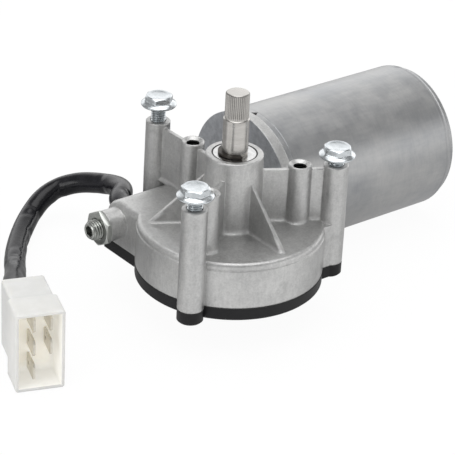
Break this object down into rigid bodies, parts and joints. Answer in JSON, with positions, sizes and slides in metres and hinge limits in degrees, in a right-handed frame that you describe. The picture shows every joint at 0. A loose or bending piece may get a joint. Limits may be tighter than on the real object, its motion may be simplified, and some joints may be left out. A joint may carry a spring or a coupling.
{
  "type": "wiper motor",
  "caption": "Worm-geared wiper motor: die-cast gear case with mounting bosses, round can, serrated output shaft, sleeved cable and flat-blade plug.",
  "frame": {"origin": "where the output shaft's axis meets the plane of the six boss tops", "axes": "+Z along the output shaft, out of the gear case; +X along the motor can, towards its rear; +Y from the output shaft towards the motor's axis"},
  "size_m": [0.2264, 0.1416, 0.0926],
  "materials": {
    "cast_aluminium": "as die-cast, satin",
    "can_steel": "zinc-plated drawn steel",
    "cover_black": "satin black",
    "gasket_rubber": "matt",
    "zinc_bright": "bright zinc",
    "zinc_green": "zinc, slightly green",
    "shaft_steel": "ground steel",
    "spring_steel": "blued steel",
    "sinter_bronze": "sintered bronze",
    "wheel_nylon": "moulded nylon",
    "track_brass": "rolled brass",
    "coil_copper": "enamelled copper",
    "core_steel": "stacked laminations",
    "ferrite": "sintered ferrite",
    "phenolic": "phenolic board",
    "carbon": "pressed carbon",
    "sleeve_pvc": "glossy soft vinyl",
    "grommet_rubber": "matt",
    "plug_nylon": "natural nylon, milky",
    "tab_tin": "tinned brass"
  },
  "bodies": {
    "gearmotor": {"gear_housing": "cast_aluminium", "gear_cover": "cover_black", "cover_gasket": "gasket_rubber", "cover_screws": "zinc_bright", "mounting_bolts": "zinc_bright", "shaft_bush_top": "sinter_bronze", "shaft_bush_bottom": "sinter_bronze", "shaft_washer": "zinc_bright", "end_play_screw": "zinc_green", "lock_nut": "zinc_green", "thrust_pad": "shaft_steel", "worm_tip_bush": "sinter_bronze", "motor_can": "can_steel", "rear_end_cap": "can_steel", "magnets": "ferrite", "rear_bush": "sinter_bronze", "brush_plate": "phenolic", "brush_boxes": "track_brass", "brushes": "carbon", "brush_springs": "spring_steel", "bearing_outer_ring": "shaft_steel", "bearing_seals": "gasket_rubber", "contact_fingers": "track_brass", "contact_carrier": "phenolic", "cable_grommet": "grommet_rubber", "cable_sleeve": "sleeve_pvc", "connector_housing": "plug_nylon", "connector_terminals": "tab_tin"},
    "rotor": {"armature_shaft": "shaft_steel", "bearing_inner_ring": "shaft_steel", "armature_core": "core_steel", "armature_windings": "coil_copper", "commutator_bars": "coil_copper", "commutator_hub": "phenolic"},
    "output": {"output_shaft": "shaft_steel", "shaft_circlip": "spring_steel", "worm_wheel": "wheel_nylon", "wheel_hub_plate": "zinc_bright", "park_contact_track": "track_brass", "wheel_thrust_washer": "shaft_steel"}
  },
  "joints": [
    {"name": "armature_spin", "type": "hinge", "parent": "gearmotor", "child": "rotor", "pos_m": [0, 0.035, -0.032], "axis": [1, 0, 0], "continuous": true},
    {"name": "output_spin", "type": "hinge", "parent": "gearmotor", "child": "output", "pos_m": [0, 0, 0], "axis": [0, 0, 1], "continuous": true}
  ],
  "couplings": [
    {"joint": "output_spin", "follows": "armature_spin", "ratio": 0.020833}
  ]
}
